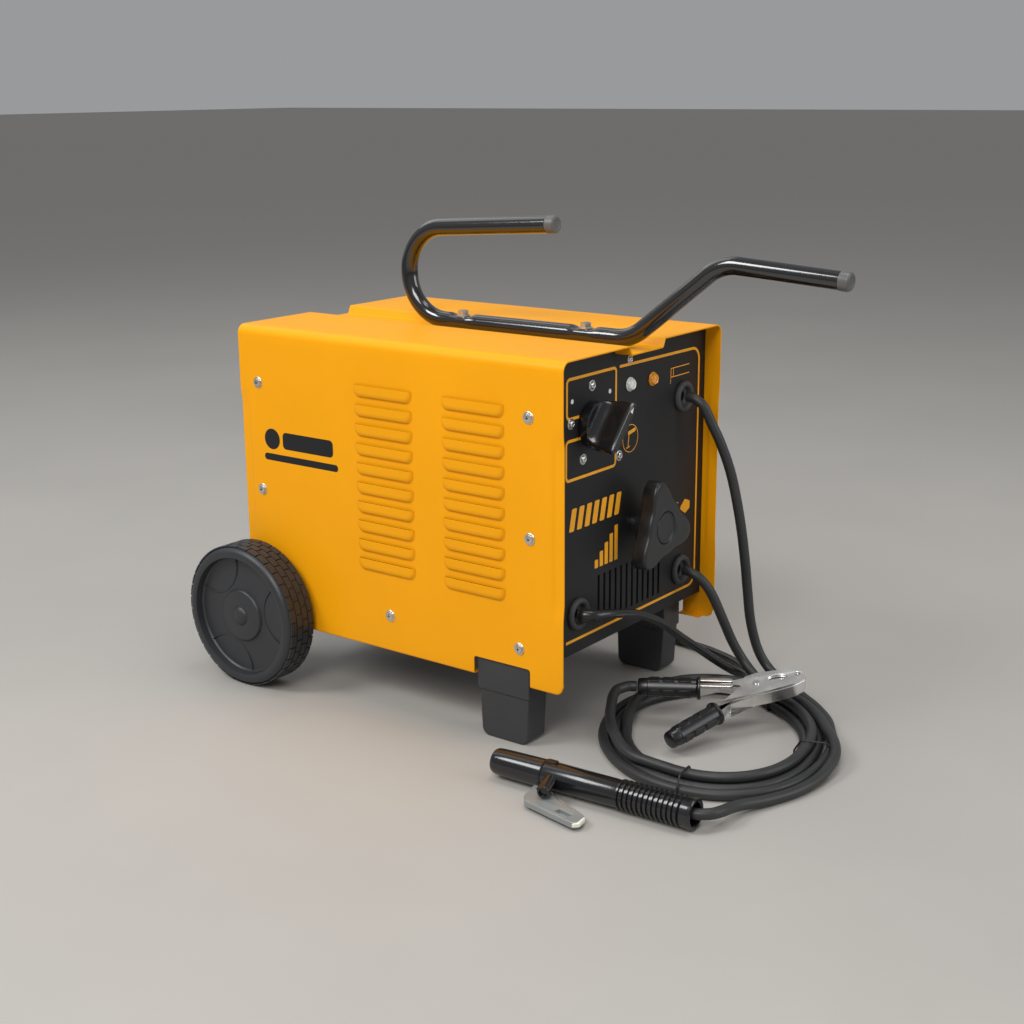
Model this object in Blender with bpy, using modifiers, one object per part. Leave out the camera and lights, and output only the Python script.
"""Wheeled transformer welder for stick electrodes, with its welding cables laid out in front.

Frame: metres, +Z up, z = 0 on the floor. The front panel faces -Y and the rear +Y. The origin is on
the floor, under the middle of the machine without its cables.
"""

from math import cos, pi, radians, sin, tan

import bmesh
import bpy
from mathutils import Matrix, Vector

# Case
CASE_WIDTH = 0.270
CASE_LENGTH = 0.396
CASE_TOP = 0.365
CASE_BOTTOM = 0.061
SHEET = 0.0012
CASE_BEND = 0.009
SIDE_LIP = 0.010
CHANNEL_DEPTH = 0.008
CHANNEL_FLOOR_HALF = 0.0265
CHANNEL_TOP_HALF = 0.030
PANEL_RECESS = 0.017
PANEL_SHEET = 0.0015
PANEL_BOTTOM = 0.0865
PAN_RIM = 0.022
GAP = 0.0003

# Running gear
WHEEL_RADIUS = 0.0735
WHEEL_WIDTH = 0.038
WHEEL_FACE_X = 0.1766
AXLE_RADIUS = 0.006
AXLE_CLEARANCE = 0.00008
AXLE_Y = 0.177
FOOT_X = (0.101, 0.1325)
FOOT_Y = (-0.1585, -0.0985)
FOOT_STEP_Z = 0.047
FOOT_CUT_TOP = 0.079

# Handle
TUBE_RADIUS = 0.0085
HANDLE_BOLT_Y = (-0.129, 0.018)
HANDLE_BEND = 0.045
REAR_BEND = 0.0455

# Front panel fittings: (x, z) on the panel
SELECTOR = (-0.066, 0.298)
SELECTOR_TILT = radians(42)
HANDWHEEL = (0.012, 0.188)
POWER_LAMP = (-0.0037, 0.3246)
OVERHEAT_LAMP = (0.0354, 0.3237)
ELECTRODE_GROMMET = (0.092, 0.298)
EARTH_GROMMET = (0.092, 0.121)
MAINS_GROMMET = (-0.088, 0.124)
GROMMET_FLANGE = 0.0155
GROMMET_NECK = 0.0100
GROMMET_PROUD = 0.005
VENT_X = (-0.0530, 0.0525)
VENT_Z = (0.106, 0.152)
VENT_SLOTS = 12
VENT_SLOT_WIDTH = 0.0034

# Transformer, centred on the lead screw
CORE_HALF_WIDTH = 0.092
CORE_WINDOW_HALF = 0.050
CORE_Z = (0.104, 0.272)
WINDOW_Z = (0.144, 0.232)
CORE_Y = (-0.005, 0.065)
COIL_THICKNESS = 0.015
COIL_CLEARANCE = 0.001
SHUNT_HALF = (0.016, 0.030, 0.038)
SHUNT_Y = -0.005
SCREW_RADIUS = 0.006

# Fan
FAN_CENTRE = (0.0, 0.215)
FAN_BLADE_RADIUS = 0.065
FAN_BLADES = 5

# Cables
WELD_CABLE_RADIUS = 0.005
MAINS_CABLE_RADIUS = 0.00425
WELD_COIL_CENTRE = (-0.0215, -0.288)
WELD_COIL_OUTER = (0.128, 0.106)
WELD_COIL_INNER = (0.074, 0.070)
WELD_COIL_HEIGHT = 0.0160
WELD_COIL_TURN = radians(37.1)
MAINS_COIL_CENTRE = (0.225, 0.075)
MAINS_COIL_RADII = (0.029, 0.058)
MAINS_COIL_HEIGHT = 0.0175
PLUG_CENTRE = (0.2000, 0.2028, 0.0185)

# Electrode holder, lying along -Y
HOLDER_END = Vector((-0.185, -0.367, 0.0145))
HOLDER_NOSE = Vector((-0.1965, -0.168, 0.0145))
HOLDER_JOINT = 0.145
LEVER_PIVOT = (-0.2165, -0.2383)
HOLDER_BORE = 0.0105

# Earth clamp, in its own frame: +x to the jaw tip, pivot at the origin
CLAMP_PIVOT = Vector((0.0335, -0.303, 0.0385))
CLAMP_TURN = (radians(14.0), radians(-6.5), radians(-41.9))
CLAMP_ARM = (0.052, 0.112)
CLAMP_ARM_ANGLE = (radians(159.5), radians(205.5))
CLAMP_GRIP_RADIUS = 0.0085

FRONT = -CASE_LENGTH / 2
REAR = CASE_LENGTH / 2
SIDE = CASE_WIDTH / 2
PANEL_FACE = FRONT + PANEL_RECESS
PANEL_BACK = PANEL_FACE + PANEL_SHEET
PAN_FLOOR = PANEL_BOTTOM + PANEL_SHEET


# ---------------------------------------------------------------- tools


def clear_scene():
    for old in list(bpy.data.objects):
        bpy.data.objects.remove(old)
    for name in ("stick_welder", "cutters"):
        collection = bpy.data.collections.new(name)
        bpy.context.scene.collection.children.link(collection)
    bpy.data.collections["cutters"].hide_render = True


def material(name, colour, roughness, metallic=0.0):
    made = bpy.data.materials.get(name)
    if made is None:
        made = bpy.data.materials.new(name)
        made.use_nodes = True
        shader = made.node_tree.nodes["Principled BSDF"]
        shader.inputs["Base Color"].default_value = (*colour, 1.0)
        shader.inputs["Roughness"].default_value = roughness
        shader.inputs["Metallic"].default_value = metallic
    return made


def yellow_paint():
    return material("yellow_paint", (0.90, 0.36, 0.01), 0.38)


def black_paint():
    return material("black_paint", (0.02, 0.02, 0.022), 0.42)


def gloss_black():
    return material("gloss_black", (0.012, 0.012, 0.013), 0.12)


def black_plastic():
    return material("black_plastic", (0.025, 0.025, 0.027), 0.5)


def black_rubber():
    return material("black_rubber", (0.03, 0.03, 0.03), 0.7)


def zinc_steel():
    return material("zinc_steel", (0.62, 0.62, 0.6), 0.3, 1.0)


def bright_steel():
    return material("bright_steel", (0.75, 0.75, 0.74), 0.28, 1.0)


def core_steel():
    return material("core_steel", (0.22, 0.22, 0.24), 0.55, 0.8)


def copper_winding():
    return material("copper_winding", (0.55, 0.22, 0.08), 0.4, 0.6)


def lamp(name, colour):
    return material(name, colour, 0.2)


def smooth(mesh, angle=35):
    mesh.shade_smooth()
    mesh.set_sharp_from_angle(angle=radians(angle))


def add(name, data, paint, helper=False):
    """An object of this data, in the part's collection or among the cutters."""
    made = bpy.data.objects.new(name, data)
    data.materials.append(paint)
    bpy.data.collections["cutters" if helper else "stick_welder"].objects.link(made)
    if helper:
        made.hide_render = True
        made.display_type = "WIRE"
    return made


def mesh_from(name, form):
    bmesh.ops.recalc_face_normals(form, faces=form.faces)
    mesh = bpy.data.meshes.new(name)
    form.to_mesh(mesh)
    form.free()
    smooth(mesh)
    return mesh


def box(name, low, high, paint, bevel=0.0, helper=False):
    form = bmesh.new()
    bmesh.ops.create_cube(form, size=1.0)
    low, high = Vector(low), Vector(high)
    bmesh.ops.scale(form, vec=high - low, verts=form.verts)
    made = add(name, mesh_from(name, form), paint, helper)
    made.location = (low + high) / 2
    if bevel:
        round_edges(made, bevel)
    return made


def round_edges(made, width, segments=2):
    edges = made.modifiers.new("Edges", "BEVEL")
    edges.width = width
    edges.segments = segments
    edges.limit_method = "ANGLE"
    edges.angle_limit = radians(40)


def aim(made, start, direction):
    """Puts the object's own +Z along the direction, with its origin at start."""
    made.location = start
    made.rotation_mode = "QUATERNION"
    made.rotation_quaternion = Vector(direction).to_track_quat("Z", "Y")
    return made


def cylinder(name, start, end, radius, paint, sides=24, end_radius=None, helper=False):
    start, end = Vector(start), Vector(end)
    form = bmesh.new()
    bmesh.ops.create_cone(
        form,
        cap_ends=True,
        segments=sides,
        radius1=radius,
        radius2=radius if end_radius is None else end_radius,
        depth=(end - start).length,
    )
    made = add(name, mesh_from(name, form), paint, helper)
    return aim(made, (start + end) / 2, end - start)


def turned(name, profile, start, direction, paint, sides=32):
    """A closed profile of (radius, height) points, clockwise from its top, turned about the direction."""
    form = bmesh.new()
    ring = [form.verts.new((radius, 0.0, height)) for radius, height in profile]
    for first, second in zip(ring, ring[1:] + ring[:1]):
        form.edges.new((first, second))
    mesh = bpy.data.meshes.new(name)
    form.to_mesh(mesh)
    form.free()
    made = add(name, mesh, paint)
    screw = made.modifiers.new("Turn", "SCREW")
    screw.steps = sides
    screw.render_steps = sides
    screw.use_merge_vertices = True
    screw.merge_threshold = 0.00001
    screw.use_smooth_shade = False
    return aim(made, start, direction)


def sheet_outline(name, outlines, thickness, paint):
    """A flat plate in its own XY plane: the first outline is its edge and the others are holes."""
    curve = bpy.data.curves.new(name, "CURVE")
    curve.dimensions = "2D"
    curve.fill_mode = "BOTH"
    curve.extrude = thickness / 2
    for outline in outlines:
        spline = curve.splines.new("POLY")
        spline.points.add(len(outline) - 1)
        for point, (x, y) in zip(spline.points, outline):
            point.co = (x, y, 0.0, 1.0)
        spline.use_cyclic_u = True
    return add(name, curve, paint)


def tube(name, points, radius, paint, sides=2):
    curve = bpy.data.curves.new(name, "CURVE")
    curve.dimensions = "3D"
    curve.bevel_depth = radius
    curve.bevel_resolution = sides
    curve.use_fill_caps = True
    spline = curve.splines.new("POLY")
    spline.points.add(len(points) - 1)
    for point, place in zip(spline.points, points):
        point.co = (*place, 1.0)
    return add(name, curve, paint)


def to_mesh(made):
    """Replaces a curve object by a mesh object of the same name, ready to be cut."""
    graph = bpy.context.evaluated_depsgraph_get()
    mesh = bpy.data.meshes.new_from_object(made.evaluated_get(graph))
    form = bmesh.new()
    form.from_mesh(mesh)
    bmesh.ops.remove_doubles(form, verts=form.verts, dist=0.00001)
    form.to_mesh(mesh)
    form.free()
    name, place = made.name, made.matrix_world.copy()
    bpy.data.objects.remove(made)
    mesh.name = name
    smooth(mesh)
    solid = bpy.data.objects.new(name, mesh)
    bpy.data.collections["stick_welder"].objects.link(solid)
    solid.matrix_world = place
    return solid


def combine(made, other, operation="DIFFERENCE"):
    cut = made.modifiers.new(operation.title() + other.name, "BOOLEAN")
    cut.operation = operation
    cut.solver = "EXACT"
    cut.object = other
    return made


def fillet(points, radii, steps=5):
    """The path through these points with each inner corner replaced by an arc."""
    places = [Vector(point) for point in points]
    path = [places[0]]
    for before, corner, after, radius in zip(places, places[1:], places[2:], radii):
        arrive = (corner - before).normalized()
        leave = (after - corner).normalized()
        angle = arrive.angle(leave)
        reach = radius * tan(angle / 2)
        start = corner - arrive * reach
        towards = (leave - arrive).normalized()
        centre = corner + towards * (radius / cos(angle / 2))
        spoke = start - centre
        axis = arrive.cross(leave)
        for step in range(steps + 1):
            path.append(centre + Matrix.Rotation(angle * step / steps, 3, axis) @ spoke)
    path.append(places[-1])
    return path


def circle(centre, radius, sides=24):
    turn = [2 * pi * step / sides for step in range(sides)]
    return [(centre[0] + radius * cos(a), centre[1] + radius * sin(a)) for a in turn]


def smooth_route(knots, spacing):
    """Points at this spacing along a smooth curve through the knots."""
    places = [Vector(knot) for knot in knots]
    ends = [2 * places[0] - places[1]], [2 * places[-1] - places[-2]]
    chain = ends[0] + places + ends[1]
    path = []
    for before, first, second, after in zip(chain, chain[1:], chain[2:], chain[3:]):
        count = max(1, round((second - first).length / spacing))
        for step in range(count):
            t = step / count
            path.append(
                0.5
                * (
                    2 * first
                    + (second - before) * t
                    + (2 * before - 5 * first + 4 * second - after) * t * t
                    + (3 * first - before - 3 * second + after) * t * t * t
                )
            )
    path.append(places[-1])
    return path


# ---------------------------------------------------------------- case


def case_profile(inset):
    """Half of the case's section from the middle of the channel to the bottom edge, as (x, z)."""
    top = CASE_TOP - inset
    return [
        (0.0, top - CHANNEL_DEPTH),
        (CHANNEL_FLOOR_HALF + inset, top - CHANNEL_DEPTH),
        (CHANNEL_TOP_HALF + inset, top),
        (SIDE - inset, top),
    ]


def casing():
    """One sheet: a lip, a side, the top with its channel, a side and a lip."""
    half = case_profile(0.0) + [(SIDE, CASE_BOTTOM), (SIDE - SIDE_LIP, CASE_BOTTOM)]
    corners = [(x, 0.0, z) for x, z in half]
    arcs = fillet(corners, [0.002, 0.002, CASE_BEND, 0.002])
    line = [Vector((-point.x, 0.0, point.z)) for point in reversed(arcs)] + arcs[1:]
    form = bmesh.new()
    front = [form.verts.new((point.x, FRONT, point.z)) for point in line]
    rear = [form.verts.new((point.x, REAR, point.z)) for point in line]
    for index in range(len(line) - 1):
        form.faces.new((front[index], front[index + 1], rear[index + 1], rear[index]))
    mesh = bpy.data.meshes.new("casing")
    form.to_mesh(mesh)
    form.free()
    smooth(mesh)
    made = add("casing", mesh, yellow_paint())
    shell = made.modifiers.new("Sheet", "SOLIDIFY")
    shell.thickness = SHEET
    shell.offset = -1.0
    shell.use_even_offset = True
    for side in (-1, 1):
        label = "left" if side < 0 else "right"
        xs = sorted((side * (SIDE - 0.02), side * (SIDE + 0.01)))
        foot = box(
            "cut_foot_" + label,
            (xs[0], FOOT_Y[0] - 0.003, CASE_BOTTOM - 0.01),
            (xs[1], FOOT_Y[1] + 0.002, FOOT_CUT_TOP),
            black_plastic(),
            helper=True,
        )
        combine(made, foot)
        hole = cylinder(
            "cut_axle_" + label,
            (xs[0], AXLE_Y, WHEEL_RADIUS),
            (xs[1], AXLE_Y, WHEEL_RADIUS),
            AXLE_RADIUS + 0.001,
            black_plastic(),
            helper=True,
        )
        combine(made, hole)
    for y in HANDLE_BOLT_Y:
        hole = cylinder(
            f"cut_bolt_{y:.3f}",
            (0, y, CASE_TOP - 0.03),
            (0, y, CASE_TOP),
            0.0034,
            zinc_steel(),
            sides=12,
            helper=True,
        )
        combine(made, hole)


def slot_outline(x, low, high, width):
    half = width / 2
    return [(x - half, low), (x + half, low), (x + half, high), (x - half, high)]


def slot_outlines():
    step = (VENT_X[1] - VENT_X[0]) / (VENT_SLOTS - 1)
    low, high = VENT_Z
    for index in range(VENT_SLOTS):
        yield slot_outline(VENT_X[0] + step * index, low, high, VENT_SLOT_WIDTH)


def panel_outline():
    inset = SHEET + 0.0005
    half = case_profile(inset) + [(SIDE - inset, PANEL_BOTTOM)]
    arcs = fillet([(x, z, 0) for x, z in half], [0.002, 0.002, CASE_BEND - inset])
    right = [(point.x, point.y) for point in arcs]
    return right[1:] + [(-x, z) for x, z in reversed(right[1:])]


def stand_up(made, y):
    """Turns a plate drawn in XY so that its y runs up Z, and puts its middle at this Y."""
    made.rotation_euler = (pi / 2, 0.0, 0.0)
    made.location = (0.0, y, 0.0)
    return made


def front_panel():
    holes = [circle(place, GROMMET_NECK + 0.0005) for place in grommet_places().values()]
    holes += [circle(POWER_LAMP, 0.005, 16), circle(OVERHEAT_LAMP, 0.005, 16)]
    holes += [circle(SELECTOR, 0.006, 16), circle(HANDWHEEL, SCREW_RADIUS + 0.001, 20)]
    outlines = [panel_outline()] + holes + list(slot_outlines())
    made = sheet_outline("front_panel", outlines, PANEL_SHEET, black_paint())
    stand_up(made, PANEL_FACE + PANEL_SHEET / 2)


def grommet_places():
    return {
        "electrode_grommet": ELECTRODE_GROMMET,
        "earth_grommet": EARTH_GROMMET,
        "mains_grommet": MAINS_GROMMET,
    }


def rear_panel():
    """The front panel's outline with rows of upright slots behind the fan."""
    slots = []
    for row in range(2):
        low = FAN_CENTRE[1] - 0.052 + row * 0.056
        for column in range(9):
            x = -0.048 + column * 0.012
            slots.append(slot_outline(x, low, low + 0.048, 0.004))
    made = sheet_outline("rear_panel", [panel_outline()] + slots, PANEL_SHEET, black_paint())
    stand_up(made, -PANEL_FACE - PANEL_SHEET / 2)


def base_pan():
    """A tray with a low rim down each side, which the case's side screws go into."""
    edge = SIDE - SHEET - 0.0005 - PANEL_SHEET
    floor = PAN_FLOOR
    corners = [(-edge, 0, floor + PAN_RIM), (-edge, 0, floor), (edge, 0, floor), (edge, 0, floor + PAN_RIM)]
    line = fillet(corners, [0.003, 0.003], 3)
    reach = -PANEL_BACK - GAP
    form = bmesh.new()
    front = [form.verts.new((point.x, -reach, point.z)) for point in line]
    rear = [form.verts.new((point.x, reach, point.z)) for point in line]
    for index in range(len(line) - 1):
        form.faces.new((front[index], rear[index], rear[index + 1], front[index + 1]))
    mesh = bpy.data.meshes.new("base_pan")
    form.to_mesh(mesh)
    form.free()
    made = add("base_pan", mesh, core_steel())
    shell = made.modifiers.new("Sheet", "SOLIDIFY")
    shell.thickness = PANEL_SHEET
    shell.offset = 1.0
    shell.use_even_offset = True


# ---------------------------------------------------------------- running gear


def front_foot(label, side):
    """A block with a step round it, narrower towards the floor."""
    outer, inner = side * FOOT_X[1], side * FOOT_X[0]
    xs = sorted((outer, inner))
    top = PANEL_BOTTOM - GAP
    made = box(
        "front_foot_" + label,
        (xs[0], FOOT_Y[0], FOOT_STEP_Z),
        (xs[1], FOOT_Y[1], top),
        black_plastic(),
        bevel=0.002,
    )
    form = bmesh.new()
    bmesh.ops.create_cube(form, size=1.0)
    for vert in form.verts:
        low = vert.co.z < 0
        middle_x = (xs[0] + xs[1]) / 2
        half_x = (xs[1] - xs[0]) / 2 - (0.0022 if low else 0.0012)
        ends = (FOOT_Y[0] + (0.005 if low else 0.0012), FOOT_Y[1] - (0.004 if low else 0.0012))
        vert.co.x = middle_x + (half_x if vert.co.x > 0 else -half_x)
        vert.co.y = ends[1] if vert.co.y > 0 else ends[0]
        vert.co.z = 0.0 if low else FOOT_STEP_Z + 0.004
    lower = add("foot_leg_" + label, mesh_from("foot_leg_" + label, form), black_plastic(), helper=True)
    round_edges(lower, 0.004, 3)
    combine(made, lower, "UNION")


def axle():
    reach = WHEEL_FACE_X - 0.009
    place = (AXLE_Y, WHEEL_RADIUS)
    cylinder("axle", (-reach, *place), (reach, *place), AXLE_RADIUS, zinc_steel(), sides=32)
    for label, side in (("left", -1), ("right", 1)):
        x = side * 0.112
        made = box(
            "axle_bracket_" + label,
            (x - 0.002, AXLE_Y - 0.017, WHEEL_RADIUS - 0.012),
            (x + 0.002, AXLE_Y - 0.017 + 0.034, PANEL_BOTTOM - GAP),
            zinc_steel(),
            bevel=0.0008,
        )
        hole = cylinder(
            "cut_bracket_" + label,
            (x - 0.01, *place),
            (x + 0.01, *place),
            AXLE_RADIUS + 0.0004,
            zinc_steel(),
            sides=32,
            helper=True,
        )
        combine(made, hole)


def wheel(label, side):
    """Turned about the axle: tyre, rim ring, dished disc and hub, from its outer face inwards."""
    bore = AXLE_RADIUS + AXLE_CLEARANCE
    radius, width = WHEEL_RADIUS, WHEEL_WIDTH
    profile = [
        (bore, -0.008),
        (0.012, -0.008),
        (0.012, -0.0055),
        (0.024, -0.0045),
        (0.0265, -0.0075),
        (0.055, -0.0085),
        (0.0585, 0.0),
        (0.068, 0.0),
        (radius, -0.005),
        (radius, -width + 0.004),
        (0.068, -width),
        (0.060, -width),
        (0.056, -width + 0.012),
        (0.018, -width + 0.012),
        (0.018, -width),
        (bore, -width),
    ]
    face = (side * WHEEL_FACE_X, AXLE_Y, WHEEL_RADIUS)
    turned("wheel_" + label, profile, face, (side, 0, 0), black_plastic(), sides=32)
    dome = [(0.0, 0.0), (0.005, -0.0006), (0.0085, -0.0028), (0.0105, -0.0052), (0.0105, -0.0077), (0.0, -0.0077)]
    turned("hub_cap_" + label, dome, face, (side, 0, 0), black_plastic(), sides=20)


# ---------------------------------------------------------------- handle


def handle_line():
    """The tube's centre line, in the machine's middle plane, from its front end to its rear end."""
    floor = CASE_TOP - CHANNEL_DEPTH + TUBE_RADIUS + GAP
    corners = [
        (0, -0.386, 0.4331),
        (0, -0.2732, 0.4405),
        (0, -0.1792, floor),
        (0, 0.0868, floor),
        (0, 0.0868, 0.4548),
        (0, -0.086, 0.4658),
    ]
    return fillet(corners, [HANDLE_BEND, HANDLE_BEND, REAR_BEND, REAR_BEND], 6)


def handle():
    line = handle_line()
    made = to_mesh(tube("handle_tube", line, TUBE_RADIUS, gloss_black(), 3))
    top = CASE_TOP - CHANNEL_DEPTH + 2 * TUBE_RADIUS + GAP
    for label, y in zip(("front", "rear"), HANDLE_BOLT_Y):
        flat = box(
            "cut_flat_" + label,
            (-0.02, y - 0.011, top - 0.003),
            (0.02, y + 0.011, top + 0.01),
            gloss_black(),
            helper=True,
        )
        combine(made, flat)
        hole = cylinder(
            "cut_tube_" + label,
            (0, y, CASE_TOP - 0.02),
            (0, y, CASE_TOP + 0.03),
            0.0034,
            gloss_black(),
            sides=12,
            helper=True,
        )
        combine(made, hole)
        handle_bolt(label, y, top - 0.003)
    ends = {"front": (line[0], line[0] - line[1]), "rear": (line[-1], line[-1] - line[-2])}
    for label, (place, outwards) in ends.items():
        outwards.normalize()
        cap = [(0, 0.010), (0.0072, 0.010), (0.0086, 0.0085), (0.0086, GAP), (0, GAP)]
        turned("handle_plug_" + label, cap, place, outwards, black_plastic(), sides=20)


def handle_bolt(label, y, seat):
    """A hexagon head with its washer on the flattened tube, and a shank down through the top sheet."""
    made = cylinder(
        "handle_bolt_" + label,
        (0, y, CASE_TOP - 0.022),
        (0, y, seat + 0.002),
        0.003,
        zinc_steel(),
        sides=12,
    )
    washer = cylinder(
        "washer_" + label, (0, y, seat + GAP), (0, y, seat + 0.0014), 0.007, zinc_steel(), helper=True
    )
    head = cylinder(
        "head_" + label, (0, y, seat + 0.0012), (0, y, seat + 0.0058), 0.0056, zinc_steel(), sides=6, helper=True
    )
    combine(made, washer, "UNION")
    combine(made, head, "UNION")


# ---------------------------------------------------------------- front fittings


def selector():
    """A switch body behind the panel, and a bar knob on its shaft."""
    x, z = SELECTOR
    half = 0.026
    box(
        "selector_switch_body",
        (x - half, PANEL_BACK + GAP, z - half),
        (x + half, PANEL_BACK + 0.056, z + half),
        black_plastic(),
        bevel=0.003,
    )
    made = cylinder(
        "selector_knob",
        (x, PANEL_FACE - 0.0008, z),
        (x, PANEL_FACE - 0.010, z),
        0.0215,
        black_plastic(),
        sides=40,
    )
    bar = box(
        "selector_bar",
        (-0.0085, -0.036, -0.0275),
        (0.0085, -0.008, 0.0275),
        black_plastic(),
        bevel=0.004,
        helper=True,
    )
    bar.location = (x, PANEL_FACE - 0.021, z)
    bar.rotation_euler = (0, SELECTOR_TILT, 0)
    shaft = cylinder(
        "selector_shaft", (x, PANEL_FACE - 0.002, z), (x, PANEL_BACK, z), 0.0055, black_plastic(), helper=True
    )
    combine(made, bar, "UNION")
    combine(made, shaft, "UNION")


def handwheel():
    """Three lobes round the lead screw, with a round cap sunk in the front face."""
    x, z = HANDWHEEL
    thickness = 0.027
    centre_y = PANEL_FACE - 0.0195
    rim = []
    for step in range(60):
        angle = 2 * pi * step / 60
        reach = 0.0235 + 0.024 * ((1 + cos(3 * (angle - radians(103)))) / 2) ** 3
        rim.append((reach * cos(angle), reach * sin(angle)))
    made = sheet_outline("current_handwheel", [rim], thickness, black_plastic())
    made.rotation_euler = (pi / 2, 0, 0)
    made.location = (x, centre_y, z)
    bpy.context.view_layer.update()
    made = to_mesh(made)
    round_edges(made, 0.002, 1)
    face = centre_y - thickness / 2
    sink = cylinder(
        "cut_cap", (x, face - 0.01, z), (x, face + 0.009, z), 0.0158, black_plastic(), sides=32, helper=True
    )
    combine(made, sink)
    bore = cylinder(
        "cut_hub",
        (x, face + 0.018, z),
        (x, PANEL_FACE + 0.01, z),
        SCREW_RADIUS + 0.0003,
        black_plastic(),
        helper=True,
    )
    combine(made, bore)
    cap = [(0, 0.0), (0.0135, 0.0), (0.0154, -0.0012), (0.0154, -0.0028), (0, -0.0028)]
    turned("handwheel_cap", cap, (x, face + 0.006, z), (0, -1, 0), black_plastic(), sides=32)


def lamps():
    for name, (x, z), colour in (
        ("power_lamp", POWER_LAMP, lamp("lamp_clear", (0.85, 0.86, 0.84))),
        ("overheat_lamp", OVERHEAT_LAMP, lamp("lamp_orange", (0.9, 0.33, 0.03))),
    ):
        dome = [(0, 0.0052), (0.003, 0.0047), (0.0055, 0.0034), (0.0068, 0.0012), (0.0068, GAP)]
        dome += [(0.0045, GAP), (0.0045, -0.014), (0, -0.014)]
        turned(name, dome, (x, PANEL_FACE, z), (0, -1, 0), colour, sides=20)


def grommets():
    for name, (x, z) in grommet_places().items():
        bore = (MAINS_CABLE_RADIUS if name.startswith("mains") else WELD_CABLE_RADIUS) - 0.0008
        flange = [
            (bore, GROMMET_PROUD),
            (GROMMET_FLANGE - 0.004, GROMMET_PROUD),
            (GROMMET_FLANGE, GROMMET_PROUD - 0.0025),
            (GROMMET_FLANGE, GAP),
            (GROMMET_NECK, GAP),
            (GROMMET_NECK, -0.007),
            (bore, -0.007),
        ]
        turned(name, flange, (x, PANEL_FACE, z), (0, -1, 0), black_rubber(), sides=20)


# ---------------------------------------------------------------- transformer and shunt


def core():
    """A square window frame of laminations, with a coil round each upright limb."""
    cx = HANDWHEEL[0]
    made = box(
        "transformer_core",
        (cx - CORE_HALF_WIDTH, CORE_Y[0], CORE_Z[0]),
        (cx + CORE_HALF_WIDTH, CORE_Y[1], CORE_Z[1]),
        core_steel(),
    )
    window = box(
        "cut_window",
        (cx - CORE_WINDOW_HALF, CORE_Y[0] - 0.02, WINDOW_Z[0]),
        (cx + CORE_WINDOW_HALF, CORE_Y[1] + 0.02, WINDOW_Z[1]),
        core_steel(),
        helper=True,
    )
    combine(made, window)
    for name, side in (("primary_coil", -1), ("secondary_coil", 1)):
        coil(name, cx, side)
    for name, y in (("core_foot_front", CORE_Y[0]), ("core_foot_rear", CORE_Y[1] - 0.018)):
        box(
            name,
            (cx - CORE_HALF_WIDTH + 0.004, y, PAN_FLOOR + GAP),
            (cx + CORE_HALF_WIDTH - 0.004, y + 0.018, CORE_Z[0] - GAP),
            core_steel(),
            bevel=0.001,
        )


def coil(name, cx, side):
    limb = sorted((cx + side * CORE_WINDOW_HALF, cx + side * CORE_HALF_WIDTH))
    low = Vector((limb[0] - COIL_CLEARANCE, CORE_Y[0] - COIL_CLEARANCE, WINDOW_Z[0] + 0.003))
    high = Vector((limb[1] + COIL_CLEARANCE, CORE_Y[1] + COIL_CLEARANCE, WINDOW_Z[1] - 0.003))
    wind = Vector((COIL_THICKNESS, COIL_THICKNESS, 0))
    made = box(name, low - wind, high + wind, copper_winding(), bevel=0.005)
    reach = Vector((0, 0, 0.02))
    combine(made, box("cut_" + name, low - reach, high + reach, copper_winding(), helper=True))


def shunt():
    """A steel block that slides in the core's window on two bars, moved by the lead screw."""
    cx, cz = HANDWHEEL
    hx, hy, hz = SHUNT_HALF
    made = box("moving_shunt", (cx - hx, SHUNT_Y - hy, cz - hz), (cx + hx, SHUNT_Y + hy, cz + hz), core_steel())
    bore = cylinder(
        "cut_shunt",
        (cx, SHUNT_Y - hy - 0.01, cz),
        (cx, SHUNT_Y + hy + 0.01, cz),
        SCREW_RADIUS + 0.0004,
        core_steel(),
        helper=True,
    )
    combine(made, bore)
    for label, z in (("top", cz + hz + 0.0006), ("bottom", cz - hz - 0.0056)):
        box("shunt_guide_" + label, (cx - 0.01, -0.1045, z), (cx + 0.01, CORE_Y[1], z + 0.005), zinc_steel())
    start = PANEL_FACE - 0.0147
    cylinder("lead_screw", (cx, start, cz), (cx, 0.078, cz), SCREW_RADIUS, zinc_steel(), sides=32)
    floor = PAN_FLOOR + GAP
    plate = box("lead_screw_bracket", (cx - 0.026, -0.110, floor), (cx + 0.026, -0.105, cz + hz + 0.012), core_steel())
    hole = cylinder(
        "cut_bracket_hole", (cx, -0.12, cz), (cx, -0.09, cz), SCREW_RADIUS + 0.0004, core_steel(), helper=True
    )
    combine(plate, hole)
    foot = box(
        "bracket_foot", (cx - 0.026, -0.109, floor), (cx + 0.026, -0.085, floor + 0.003), core_steel(), helper=True
    )
    combine(plate, foot, "UNION")


def electrics():
    box("terminal_block", (-0.122, 0.050, PAN_FLOOR + GAP), (-0.100, 0.120, 0.112), black_plastic(), bevel=0.0015)
    x = HANDWHEEL[0] - (CORE_HALF_WIDTH + CORE_WINDOW_HALF) / 2
    cylinder(
        "thermal_switch",
        (x, CORE_Y[0] - 0.0095, WINDOW_Z[1] - 0.003 + GAP),
        (x, CORE_Y[0] - 0.0095, WINDOW_Z[1] + 0.005),
        0.0065,
        black_plastic(),
    )


# ---------------------------------------------------------------- fan


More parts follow.
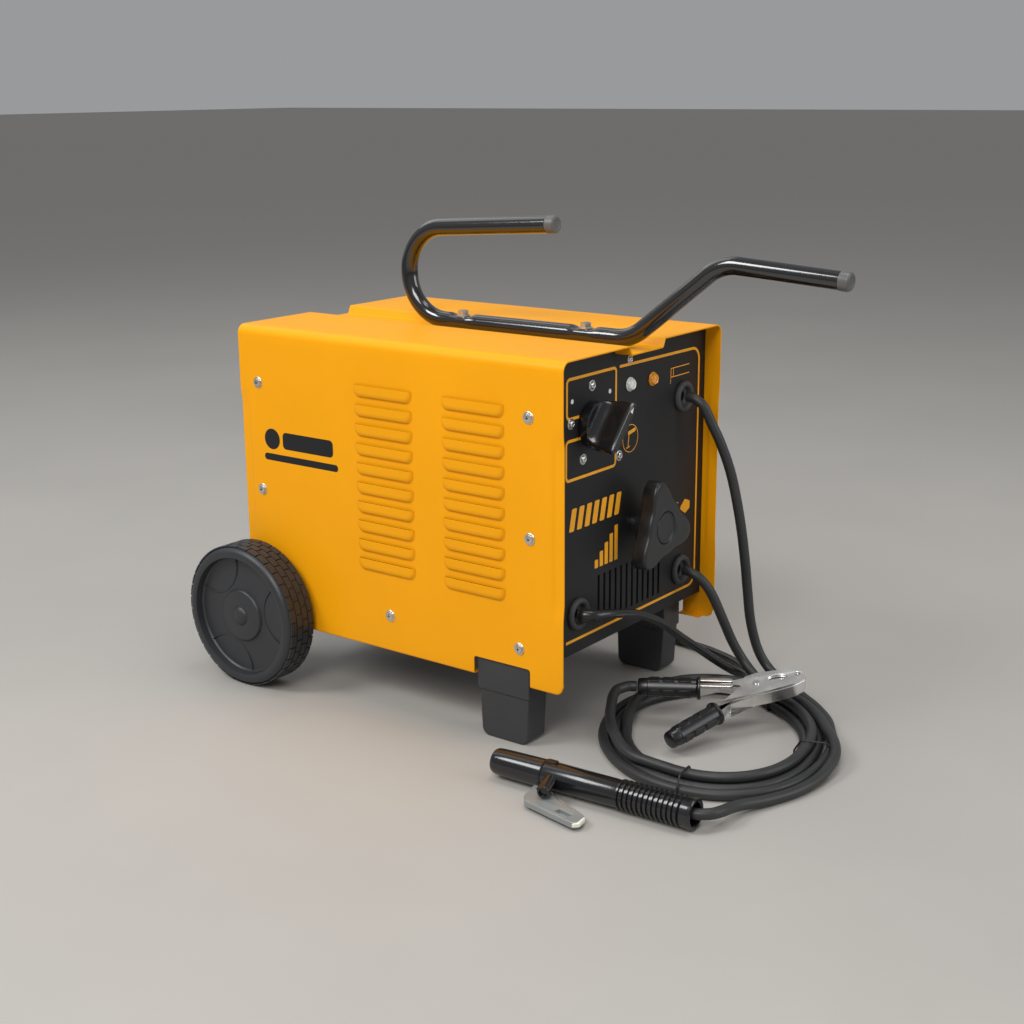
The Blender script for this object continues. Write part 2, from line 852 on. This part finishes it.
def fan():
    x, z = FAN_CENTRE
    cylinder("fan_motor", (x, 0.134, z), (x, 0.163, z), 0.030, core_steel())
    hub = cylinder("fan_blade", (x, 0.1065, z), (x, 0.134 - GAP, z), 0.016, black_plastic(), sides=24)
    for index in range(FAN_BLADES):
        blade = box(
            f"fan_vane_{index}",
            (0.010, -0.0008, -0.017),
            (FAN_BLADE_RADIUS, 0.0008, 0.017),
            black_plastic(),
            helper=True,
        )
        turn = Matrix.Rotation(2 * pi * index / FAN_BLADES, 4, "Y")
        pitch = Matrix.Rotation(radians(58), 4, "X")
        middle = Matrix.Translation(((0.010 + FAN_BLADE_RADIUS) / 2, 0, 0))
        blade.matrix_world = Matrix.Translation((x, 0.118, z)) @ turn @ pitch @ middle
        combine(hub, blade, "UNION")
    strap = box("fan_bracket", (-0.075, 0.1635, z - 0.008), (0.075, 0.1655, z + 0.008), zinc_steel())
    for label, side in (("left", -1), ("right", 1)):
        xs = sorted((side * 0.073, side * 0.075))
        leg = box(
            "bracket_leg_" + label,
            (xs[0], 0.1635, z - 0.008),
            (xs[1], -PANEL_BACK - GAP, z + 0.008),
            zinc_steel(),
            helper=True,
        )
        combine(strap, leg, "UNION")


# ---------------------------------------------------------------- cables


def cable_routes():
    """Knots of each uncoiled stretch, from where it leaves to where it meets a coil, tool or plug."""
    front = PANEL_FACE - GROMMET_PROUD - GAP
    return {
        "electrode_cable": [
            (0.0920, front, 0.2980),
            (0.0920, front - 0.004, 0.2980),
            (0.0922, -0.1965, 0.2958),
            (0.0940, -0.2040, 0.2895),
            (0.0990, -0.2110, 0.2713),
            (0.1040, -0.2168, 0.2553),
            (0.1110, -0.2237, 0.2298),
            (0.1170, -0.2280, 0.2039),
            (0.1240, -0.2321, 0.1671),
            (0.1300, -0.2347, 0.1297),
            (0.1350, -0.2360, 0.0968),
            (0.1390, -0.2385, 0.0639),
            (0.1435, -0.2455, 0.0337),
            (0.1450, -0.2590, 0.0145),
            (0.1350, -0.2830, 0.0070),
            (0.1170, -0.3110, 0.0056),
            (0.0970, -0.3370, 0.0056),
            (0.0760, -0.3575, 0.0056),
            (0.0560, -0.3705, 0.0056),
        ],
        "earth_cable": [
            (0.0920, front, 0.1210),
            (0.0920, front - 0.004, 0.1210),
            (0.0926, -0.1970, 0.1190),
            (0.0950, -0.2040, 0.1142),
            (0.0990, -0.2108, 0.1049),
            (0.1040, -0.2164, 0.0909),
            (0.1110, -0.2230, 0.0686),
            (0.1180, -0.2300, 0.0460),
            (0.1230, -0.2400, 0.0270),
            (0.1200, -0.2550, 0.0150),
            (0.1130, -0.2730, 0.0080),
            (0.1030, -0.2900, 0.0056),
        ],
        "electrode_tail": [
            (-0.0120, -0.4065, 0.0120),
            (-0.0450, -0.4095, 0.0070),
            (-0.0800, -0.4045, 0.0056),
            (-0.1120, -0.3925, 0.0060),
            (-0.1350, -0.3830, 0.0085),
            (-0.1500, -0.3805, 0.0110),
            (-0.1650, -0.3800, 0.0135),
            (-0.1765, -0.3764, 0.0145),
            (-0.1836, -0.3675, 0.0145),
            (-0.1852, -0.3590, 0.0145),
            (-0.1852, -0.3540, 0.0145),
        ],
        "earth_tail": [
            (-0.1018, -0.2331, 0.0216),
            (-0.0887, -0.2199, 0.0240),
            (-0.0755, -0.2098, 0.0272),
            (-0.0615, -0.2018, 0.0307),
            (-0.0495, -0.1957, 0.0336),
            (-0.0384, -0.1924, 0.0353),
            (-0.0309, -0.1940, 0.0360),
            (-0.0236, -0.1972, 0.0361),
            (-0.0199, -0.2035, 0.0361),
        ],
        "mains_tail": [
            (0.1650, 0.0915, 0.0140),
            (0.1690, 0.1080, 0.0145),
            (0.1755, 0.1230, 0.0155),
            (0.1840, 0.1370, 0.0165),
            (0.1920, 0.1500, 0.0175),
            (0.1975, 0.1630, 0.0183),
            (0.1998, 0.1760, 0.0185),
            (0.2000, 0.1845, 0.0185),
        ],
        "mains_cable": [
            (-0.0880, front, 0.1240),
            (-0.0880, front - 0.004, 0.1240),
            (-0.0820, -0.1975, 0.1236),
            (-0.0660, -0.2030, 0.1220),
            (-0.0440, -0.2060, 0.1170),
            (-0.0195, -0.2085, 0.1090),
            (0.0065, -0.2130, 0.0950),
            (0.0340, -0.2185, 0.0740),
            (0.0610, -0.2250, 0.0540),
            (0.0870, -0.2310, 0.0345),
            (0.1080, -0.2360, 0.0200),
            (0.1290, -0.2380, 0.0090),
            (0.1480, -0.2310, 0.0050),
            (0.1620, -0.2150, 0.0047),
            (0.1730, -0.1930, 0.0047),
            (0.1840, -0.1550, 0.0047),
            (0.1900, -0.0950, 0.0047),
            (0.1850, -0.0350, 0.0047),
            (0.1730, 0.0100, 0.0047),
            (0.1650, 0.0400, 0.0047),
            (0.1620, 0.0660, 0.0047),
        ],
    }


def cables():
    for name, knots in cable_routes().items():
        radius = MAINS_CABLE_RADIUS if name.startswith("mains") else WELD_CABLE_RADIUS
        tube(name, smooth_route(knots, 2.6 * radius * 1.6), radius, black_rubber())


def weld_coil():
    """The loops of both welding cables, as one oval ring that they fill."""
    outer_u, outer_v = WELD_COIL_OUTER
    inner_u, inner_v = WELD_COIL_INNER
    made = oval("welding_cable_coil", outer_u, outer_v, 0.0, WELD_COIL_HEIGHT)
    round_edges(made, 0.006, 2)
    hole = oval("cut_weld_coil", inner_u, inner_v, -0.01, WELD_COIL_HEIGHT + 0.01, helper=True)
    combine(made, hole)


def oval(name, half_u, half_v, low, high, helper=False):
    form = bmesh.new()
    bmesh.ops.create_cone(form, cap_ends=True, segments=48, radius1=1.0, radius2=1.0, depth=1.0)
    bmesh.ops.scale(form, vec=(half_u, half_v, high - low), verts=form.verts)
    made = add(name, mesh_from(name, form), black_rubber(), helper)
    made.location = (*WELD_COIL_CENTRE, (low + high) / 2)
    made.rotation_euler = (0, 0, WELD_COIL_TURN)
    return made


def mains_coil():
    """The tied coil of spare mains lead behind the machine, and the plug lying beside it."""
    inner, outer = MAINS_COIL_RADII
    top = MAINS_COIL_HEIGHT
    edge = 0.004
    ring = [(inner + edge, top), (outer - edge, top), (outer, top - edge), (outer, edge), (outer - edge, 0)]
    ring += [(inner + edge, 0), (inner, edge), (inner, top - edge)]
    turned("mains_cable_coil", ring, (*MAINS_COIL_CENTRE, 0.0), (0, 0, 1), black_rubber(), sides=32)
    plug()


def plug():
    """A moulded two-pin plug, pins to the rear."""
    x, y, z = PLUG_CENTRE
    body = [(0, 0.036), (0.0175, 0.036), (0.0180, 0.033), (0.0165, 0.016), (0.009, 0.0), (0.0065, -0.018), (0, -0.018)]
    made = turned("mains_plug", body, (x, y, z), (0, 1, 0), black_plastic(), sides=24)
    for label, side in (("left", -1), ("right", 1)):
        pin = cylinder(
            "plug_pin_" + label,
            (x + side * 0.0095, y + 0.030, z),
            (x + side * 0.0095, y + 0.055, z),
            0.0024,
            zinc_steel(),
            sides=12,
            helper=True,
        )
        combine(made, pin, "UNION")


# ---------------------------------------------------------------- electrode holder


def holder():
    """A tapered insulated body in two parts, with a lever under its side."""
    along = (HOLDER_NOSE - HOLDER_END).normalized()
    length = (HOLDER_NOSE - HOLDER_END).length
    joint = HOLDER_JOINT
    body = [(HOLDER_BORE, 0.0), (0.0135, 0.0), (0.0140, 0.002), (0.0134, 0.060), (0.0124, 0.075), (0.0128, joint)]
    body += [(0.004, joint), (0.004, 0.022), (HOLDER_BORE, 0.014)]
    made = turned("holder_body", list(reversed(body)), HOLDER_END, along, gloss_black(), sides=24)
    stub = cylinder(
        "holder_spring_barrel",
        (-0.196, -0.2300, 0.0158),
        (-0.227, -0.2425, 0.0154),
        0.0058,
        black_plastic(),
        sides=20,
        helper=True,
    )
    combine(made, stub, "UNION")
    x, y = LEVER_PIVOT
    pin = cylinder("lever_pin", (x, y, 0.0020), (x, y, 0.0150), 0.002, black_plastic(), sides=16, helper=True)
    combine(made, pin, "UNION")
    start = joint + GAP
    head = [(0, length), (0.006, length), (0.0098, length - 0.002), (0.0118, length - 0.007), (0.0128, start), (0, start)]
    turned("holder_head", head, HOLDER_END, along, gloss_black(), sides=24)
    lever()


def lever():
    """A flat arm with a slot, on an upright pivot beside the holder."""
    outline = [
        (-0.2060, -0.2180),
        (-0.2070, -0.2300),
        (-0.2285, -0.2835),
        (-0.2310, -0.2875),
        (-0.2440, -0.2915),
        (-0.2478, -0.2870),
        (-0.2365, -0.2300),
        (-0.2290, -0.2235),
    ]
    slot = [(-0.2310, -0.2640), (-0.2375, -0.2620), (-0.2408, -0.2760), (-0.2343, -0.2780)]
    hole = circle(LEVER_PIVOT, 0.0023, 16)
    made = sheet_outline("holder_lever", [outline, slot, hole], 0.0060, bright_steel())
    made.location = (0, 0, 0.0058)
    bpy.context.view_layer.update()
    round_edges(to_mesh(made), 0.0008, 1)


# ---------------------------------------------------------------- earth clamp


def clamp_frame():
    roll, pitch, heading = CLAMP_TURN
    turn = Matrix.Rotation(heading, 4, "Z") @ Matrix.Rotation(pitch, 4, "Y") @ Matrix.Rotation(roll, 4, "X")
    return Matrix.Translation(CLAMP_PIVOT) @ turn


def clamp_point(distance, angle):
    return Vector((distance * cos(angle), distance * sin(angle), 0.0))


def clamp_jaw(name, side, angle):
    """A pressed arm from the grip, past the pivot, to the jaw tip. side is +1 for the upper jaw."""
    arm = clamp_point(CLAMP_ARM[0] - GAP, angle)
    across = Vector((-sin(angle), cos(angle), 0.0)) * 0.0065
    first, last = arm + across * -side, arm + across * side
    outline = [
        (0.047, side * 0.0006),
        (0.049, side * 0.006),
        (0.034, side * 0.0125),
        (0.010, side * 0.0150),
        (-0.008, side * 0.0155),
        (first.x, first.y),
        (last.x, last.y),
        (-0.012, side * 0.0025),
        (-0.006, side * 0.0006),
    ]
    return sheet_outline(name, [outline], 0.015, bright_steel())


def clamp():
    """Two steel jaws on a pin, forked one over the other, each with its sleeve grip."""
    frame = clamp_frame()
    for name, side, angle in (
        ("clamp_jaw_upper", 1, CLAMP_ARM_ANGLE[0]),
        ("clamp_jaw_lower", -1, CLAMP_ARM_ANGLE[1]),
    ):
        made = clamp_jaw(name, side, angle)
        made.matrix_world = frame
        bpy.context.view_layer.update()
        made = to_mesh(made)
        if side > 0:
            ear_levels = ((-0.0075, -0.0040), (0.0040, 0.0075))
        else:
            ear_levels = ((-0.0037, 0.0037),)
        for index, (low, high) in enumerate(ear_levels):
            ear = cylinder(f"ear_{name}_{index}", (0, 0, low), (0, 0, high), 0.0075, bright_steel(), helper=True)
            ear.matrix_world = frame @ Matrix.Translation((0, 0, (low + high) / 2))
            combine(made, ear, "UNION")
        if side > 0:
            space = cylinder("cut_fork", (0, 0, -0.0040), (0, 0, 0.0040), 0.0082, bright_steel(), helper=True)
            space.matrix_world = frame
            combine(made, space)
        else:
            for index, (low, high) in enumerate(((-0.02, -0.0037), (0.0037, 0.02))):
                space = cylinder(
                    f"cut_tongue_{index}", (0, 0, low), (0, 0, high), 0.0082, bright_steel(), helper=True
                )
                space.matrix_world = frame @ Matrix.Translation((0, 0, (low + high) / 2))
                combine(made, space)
        bore = cylinder("cut_pin_" + name, (0, 0, -0.02), (0, 0, 0.02), 0.0031, bright_steel(), helper=True)
        bore.matrix_world = frame
        combine(made, bore)
    pin = cylinder("clamp_pivot", (0, 0, -0.0095), (0, 0, 0.0095), 0.0030, zinc_steel(), sides=20)
    pin.matrix_world = frame
    for name, angle in (("clamp_grip_upper", CLAMP_ARM_ANGLE[0]), ("clamp_grip_lower", CLAMP_ARM_ANGLE[1])):
        radius = CLAMP_GRIP_RADIUS
        length = CLAMP_ARM[1] - CLAMP_ARM[0]
        sleeve = [(0, length), (radius - 0.003, length), (radius - 0.001, length - 0.003)]
        sleeve += [(radius - 0.0005, 0.006), (radius + 0.0015, 0.003), (radius + 0.0015, 0.0), (0, 0.0)]
        start = frame @ clamp_point(CLAMP_ARM[0], angle)
        end = frame @ clamp_point(CLAMP_ARM[1], angle)
        turned(name, sleeve, start, end - start, black_plastic(), sides=20)


def build():
    clear_scene()
    casing()
    front_panel()
    rear_panel()
    base_pan()
    for label, side in (("left", -1), ("right", 1)):
        front_foot(label, side)
        wheel(label, side)
    axle()
    handle()
    selector()
    handwheel()
    lamps()
    grommets()
    core()
    shunt()
    electrics()
    fan()
    cables()
    weld_coil()
    mains_coil()
    holder()
    clamp()


build()
